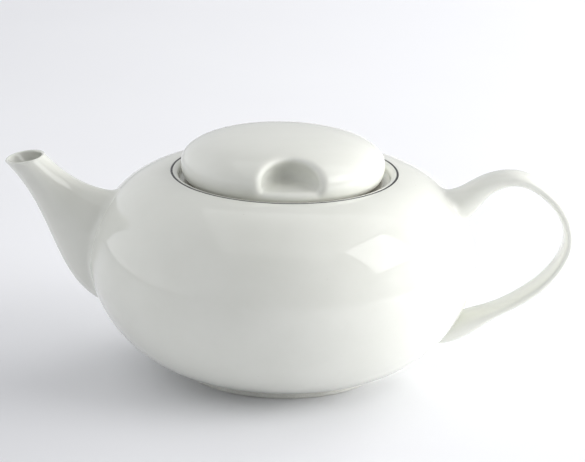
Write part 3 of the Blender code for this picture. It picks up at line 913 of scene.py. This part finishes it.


# Where painted shade darkens the glaze in the gap between lid and pot, and the seat turns rough as
# if unglazed: radius and how softly it ends, then the low and high height and how softly they end
GALLERY_SHADE_AND_BARE = (0.0440, 0.0020, 0.0812, 0.0879, 0.0012)
# Painted shade on the lid's underside below its widest point, where it dips into the shadowed gap;
# the same band also turns rough as an unglazed seat
LID_SHADE_AND_BARE = (LID_RADIUS + 0.002, 0.0004, 0.0700, 0.0893, 0.0030)
glaze = glaze_material("white_porcelain_glaze")
pot_glaze = glaze_material("white_porcelain_glaze_shaded_bare_gallery", GALLERY_SHADE_AND_BARE)
lid_glaze = glaze_material("white_porcelain_glaze_shaded_bare_seat", LID_SHADE_AND_BARE)
fitted(make_bowl(), pot_glaze, "white_glaze", "pot", "body_shell")
fitted(make_foot(), bare_material(), "bare_porcelain", "pot", "foot_ring")
fitted(make_line(), line_material(), "grey_line", "pot", "rim_line")
fitted(make_spout(), glaze, "white_glaze", "pot", "spout")
fitted(make_handle(), glaze, "white_glaze", "pot", "handle")
fitted(make_lid(), lid_glaze, "white_glaze", "lid", "lid_cap")
fitted(make_flange(), glaze, "white_glaze", "lid", "lid_flange")
fitted(make_lug(), glaze, "white_glaze", "lid", "lid_lug")


# ---- Floor, light and camera ----
STUDIO_FLOOR_RADIUS = 12.0
CAMERA_DISTANCE = 1.1
CAMERA_HEIGHT = 0.4049
CAMERA_YAW = math.radians(0.210)
CAMERA_PITCH = math.radians(17.317)
CAMERA_ROLL = math.radians(1.27)
SENSOR_MM = 36
FOCAL_RATIO = 4.4752      # focal length over the sensor's width
AIM = (0, 0, 0.05)        # what the two key lights face
KEY_POWER = 18.5
HIGH_KEY_POWER = 2.6
SWEEP_POWER = 28.0
OVERHEAD_POWER = 5.0
WORLD_LEFT = 1.08         # how bright the room is towards each side
WORLD_BACK = 0.53
WORLD_FRONT = 0.22


def make_floor():
    """A round paper floor, too wide for its edge to show."""
    shape = bmesh.new()
    bmesh.ops.create_circle(shape, cap_ends=True, segments=96, radius=STUDIO_FLOOR_RADIUS)
    mesh = bpy.data.meshes.new("studio_floor")
    shape.to_mesh(mesh)
    shape.free()
    floor = bpy.data.objects.new("studio_floor", mesh)
    bpy.context.scene.collection.objects.link(floor)
    mesh.materials.append(floor_material())


def area_light(name, place, target, width, height, power, mirrored=False, roll=0.0):
    """A rectangular light at a place, facing a target and rolled about the way it faces.

    Only a mirrored light shows up as a patch in the glaze.
    """
    light = bpy.data.lights.new(name, "AREA")
    light.shape = "RECTANGLE"
    light.size, light.size_y = width, height
    light.energy = power
    obj = bpy.data.objects.new(name, light)
    bpy.context.scene.collection.objects.link(obj)
    obj.location = place
    facing = Vector(target) - Vector(place)
    obj.rotation_mode = "QUATERNION"
    turn = facing.to_track_quat("-Z", "Y")
    obj.rotation_quaternion = turn @ Quaternion((0, 0, 1), roll)
    obj.visible_glossy = mirrored


def make_world():
    """The room's light: bright from the left, less from behind, and dim from in front."""
    world = bpy.data.worlds.new("studio_room")
    world.use_nodes = True
    tree = world.node_tree
    room = tree.nodes["Background"]
    room.inputs["Color"].default_value = (0.97, 0.98, 1.0, 1)
    direction = tree.nodes.new("ShaderNodeTexCoord").outputs["Generated"]
    total = None
    for side, strength in (
        ((-1, 0, 0), WORLD_LEFT), ((0, 1, 0), WORLD_BACK), ((0, -1, 0), WORLD_FRONT)
    ):
        towards = tree.nodes.new("ShaderNodeVectorMath")
        towards.operation = "DOT_PRODUCT"
        towards.inputs[1].default_value = side
        tree.links.new(direction, towards.inputs[0])
        facing = tree.nodes.new("ShaderNodeMath")
        facing.operation = "MAXIMUM"
        facing.inputs[1].default_value = 0
        tree.links.new(towards.outputs["Value"], facing.inputs[0])
        share = tree.nodes.new("ShaderNodeMath")
        share.operation = "MULTIPLY_ADD"
        share.inputs[1].default_value = strength
        share.inputs[2].default_value = 0
        tree.links.new(facing.outputs[0], share.inputs[0])
        if total is not None:
            tree.links.new(total, share.inputs[2])
        total = share.outputs[0]
    tree.links.new(total, room.inputs["Strength"])
    bpy.context.scene.world = world


def make_camera():
    """A long lens, a little above the pot, square to its spout and handle."""
    yaw, pitch, roll = CAMERA_YAW, CAMERA_PITCH, CAMERA_ROLL
    forward = Vector((
        math.sin(yaw) * math.cos(pitch), math.cos(yaw) * math.cos(pitch), -math.sin(pitch)
    ))
    level = Vector((math.cos(yaw), -math.sin(yaw), 0))
    upright = level.cross(forward)
    right = level * math.cos(roll) + upright * math.sin(roll)
    up = upright * math.cos(roll) - level * math.sin(roll)
    data = bpy.data.cameras.new("studio_camera")
    data.sensor_width = SENSOR_MM
    data.lens = SENSOR_MM * FOCAL_RATIO
    camera = bpy.data.objects.new("studio_camera", data)
    bpy.context.scene.collection.objects.link(camera)
    turn = Matrix((right, up, -forward)).transposed().to_4x4()
    turn.translation = (POT_AXIS_X, -CAMERA_DISTANCE, CAMERA_HEIGHT)
    camera.matrix_world = turn
    bpy.context.scene.camera = camera


bpy.context.scene.view_settings.view_transform = "Standard"
make_floor()
make_world()
area_light("key", (1.25, 0, 0.3), AIM, 1.2, 0.5, KEY_POWER)
area_light("high_key", (0.85, -0.25, 0.75), AIM, 0.6, 0.6, HIGH_KEY_POWER, True)
area_light("sweep", (1.3, 1.5, 0.6), (0.4, 0.8, 0), 1.2, 1.0, SWEEP_POWER)
area_light(
    "overhead", (0.1, -0.05, 1.3), (0.1, -0.05, 0), 1.5, 1.8, OVERHEAD_POWER, True, -0.2
)
make_camera()
